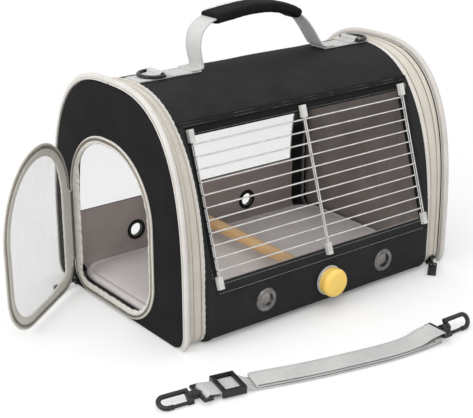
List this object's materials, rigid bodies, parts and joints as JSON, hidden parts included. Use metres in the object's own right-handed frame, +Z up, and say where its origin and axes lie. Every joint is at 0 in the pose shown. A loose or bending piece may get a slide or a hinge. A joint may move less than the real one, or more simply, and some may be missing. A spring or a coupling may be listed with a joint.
{
  "type": "bird travel carrier",
  "caption": "Soft-sided arched travel carrier with a wire grille front, a net door, a wooden perch, a padded grip and a folded shoulder strap.",
  "frame": {"origin": "centre of the flat base, on the floor", "axes": "+X to the right along the carrier's length, +Y to its back, +Z up"},
  "size_m": [0.5413, 0.447, 0.3365],
  "materials": {
    "black_cloth": "woven, matt",
    "lining_cloth": "smooth nylon",
    "cream_tape": "zip tape",
    "zip_teeth": "coil zip",
    "white_piping": "corded piping",
    "grey_binding": "ribbed binding",
    "clear_film": "clear film",
    "door_net": "fine net",
    "floor_board": "stiff sheet",
    "steel_wire": "bright wire",
    "pale_clips": "moulded",
    "eyelet_metal": "rolled metal",
    "beech": "turned, clear lacquer",
    "yellow_plastic": "satin",
    "mat_cloth": "soft pile",
    "pale_webbing": "woven webbing",
    "strap_webbing": "woven webbing",
    "grip_cloth": "padded, matt",
    "black_plastic": "moulded, satin",
    "zip_metal": "black enamel"
  },
  "bodies": {
    "shell": {"base_cover": "black_cloth", "base_board": "floor_board", "roof_panel": "black_cloth", "front_panel": "black_cloth", "left_front_post": "black_cloth", "right_front_post": "black_cloth", "back_panel": "black_cloth", "back_window": "clear_film", "roof_lining": "lining_cloth", "front_lining": "lining_cloth", "back_lining": "lining_cloth", "left_band": "cream_tape", "right_band": "cream_tape", "left_hoop": "steel_wire", "right_hoop": "steel_wire", "left_zip_coil": "zip_teeth", "right_zip_coil": "zip_teeth", "grille_bars": "steel_wire", "grille_uprights": "steel_wire", "grille_clips": "pale_clips", "upper_film": "clear_film", "lower_film": "clear_film", "front_eyelets": "eyelet_metal", "back_eyelets": "eyelet_metal", "ridge_webbing": "pale_webbing", "left_zip_slider": "zip_metal", "right_zip_slider": "zip_metal"},
    "perch": {"perch": "beech", "perch_stud": "steel_wire"},
    "front_knob": {"front_knob": "yellow_plastic"},
    "rear_knob": {"rear_knob": "yellow_plastic"},
    "mat": {"floor_mat": "mat_cloth"},
    "handle": {"handle_webbing": "pale_webbing", "handle_grip": "grip_cloth"},
    "left_d_ring": {"left_d_ring": "black_plastic"},
    "right_d_ring": {"right_d_ring": "black_plastic"},
    "left_zip_pull": {"left_zip_pull": "zip_metal"},
    "right_zip_pull": {"right_zip_pull": "zip_metal"},
    "left_end": {"left_end_panel": "black_cloth", "left_end_piping": "white_piping", "left_end_lining": "lining_cloth", "doorway_binding": "grey_binding", "door_zip_slider": "zip_metal", "door_hinge_flap": "grey_binding"},
    "door": {"door_rim": "grey_binding", "door_mesh": "door_net", "door_zip_tape": "cream_tape"},
    "door_zip_pull": {"door_zip_pull": "zip_metal"},
    "right_end": {"right_end_panel": "black_cloth", "right_end_piping": "white_piping", "right_end_lining": "lining_cloth"},
    "strap": {"strap_webbing": "strap_webbing", "left_strap_eye": "black_plastic", "right_strap_eye": "black_plastic"},
    "strap_slider": {"strap_slider": "black_plastic"},
    "left_hook": {"left_hook": "black_plastic"},
    "left_gate": {"left_gate": "black_plastic"},
    "right_hook": {"right_hook": "black_plastic"},
    "right_gate": {"right_gate": "black_plastic"}
  },
  "joints": [
    {"name": "perch_slide", "type": "slide", "parent": "shell", "child": "perch", "axis": [0, -1, 0], "range_m": [0, 0.26]},
    {"name": "front_knob_turn", "type": "hinge", "parent": "perch", "child": "front_knob", "pos_m": [0, -0.1388, 0.034], "axis": [0, -1, 0], "continuous": true},
    {"name": "rear_knob_pull", "type": "slide", "parent": "shell", "child": "rear_knob", "axis": [0, 1, 0], "range_m": [0, 0.03]},
    {"name": "mat_lift", "type": "slide", "parent": "shell", "child": "mat", "axis": [0, 0, 1], "range_m": [0, 0.009]},
    {"name": "handle_tilt", "type": "hinge", "parent": "shell", "child": "handle", "pos_m": [0, 0, 0.271], "axis": [1, 0, 0], "range_deg": [-45, 45]},
    {"name": "left_d_ring_turn", "type": "hinge", "parent": "shell", "child": "left_d_ring", "pos_m": [-0.138, 0, 0.2713], "axis": [0, 1, 0], "range_deg": [0, 180]},
    {"name": "right_d_ring_turn", "type": "hinge", "parent": "shell", "child": "right_d_ring", "pos_m": [0.152, 0, 0.2713], "axis": [0, -1, 0], "range_deg": [0, 180]},
    {"name": "left_zip_pull_swing", "type": "hinge", "parent": "shell", "child": "left_zip_pull", "pos_m": [-0.1823, 0.13418, 0.00377], "axis": [0.6428, -0.766, 0], "range_deg": [0, 45]},
    {"name": "right_zip_pull_swing", "type": "hinge", "parent": "shell", "child": "right_zip_pull", "pos_m": [0.1823, -0.13418, 0.00377], "axis": [-0.6428, 0.766, 0], "range_deg": [0, 45]},
    {"name": "left_end_fold", "type": "hinge", "parent": "shell", "child": "left_end", "pos_m": [-0.2, 0, 0], "axis": [0, -1, 0], "range_deg": [0, 90]},
    {"name": "door_swing", "type": "hinge", "parent": "left_end", "child": "door", "pos_m": [-0.2044, 0.0885, 0.1], "axis": [0, 0, -1], "range_deg": [-54, 100]},
    {"name": "door_zip_pull_swing", "type": "hinge", "parent": "left_end", "child": "door_zip_pull", "pos_m": [-0.20884, 0.086, 0.0095], "axis": [0.5, 0.866, 0], "range_deg": [0, 50]},
    {"name": "right_end_fold", "type": "hinge", "parent": "shell", "child": "right_end", "pos_m": [0.2, 0, 0], "axis": [0, 1, 0], "range_deg": [0, 90]},
    {"name": "strap_lift", "type": "slide", "parent": "shell", "child": "strap", "axis": [0, 0, 1], "range_m": [0, 0.25]},
    {"name": "strap_slider_run", "type": "slide", "parent": "strap", "child": "strap_slider", "axis": [0.9765, -0.2157, 0], "range_m": [0, 0.008]},
    {"name": "left_hook_swivel", "type": "hinge", "parent": "strap", "child": "left_hook", "pos_m": [-0.24884, -0.21483, 0.0052], "axis": [-0.9895, 0.1447, 0], "continuous": true},
    {"name": "left_gate_spring", "type": "hinge", "parent": "left_hook", "child": "left_gate", "pos_m": [-0.2554, -0.22098, 0.0026], "axis": [0.0502, 0.343, -0.938], "range_deg": [0, 25], "stiffness_Nm_per_rad": 0.02, "springref_deg": -17.19},
    {"name": "right_hook_swivel", "type": "hinge", "parent": "strap", "child": "right_hook", "pos_m": [0.053, -0.27236, 0.0092], "axis": [0.9997, -0.024, 0], "continuous": true},
    {"name": "right_gate_spring", "type": "hinge", "parent": "right_hook", "child": "right_gate", "pos_m": [0.05851, -0.27606, 0.0026], "axis": [-0.0211, -0.8797, 0.475], "range_deg": [0, 25], "stiffness_Nm_per_rad": 0.02, "springref_deg": -17.19}
  ]
}
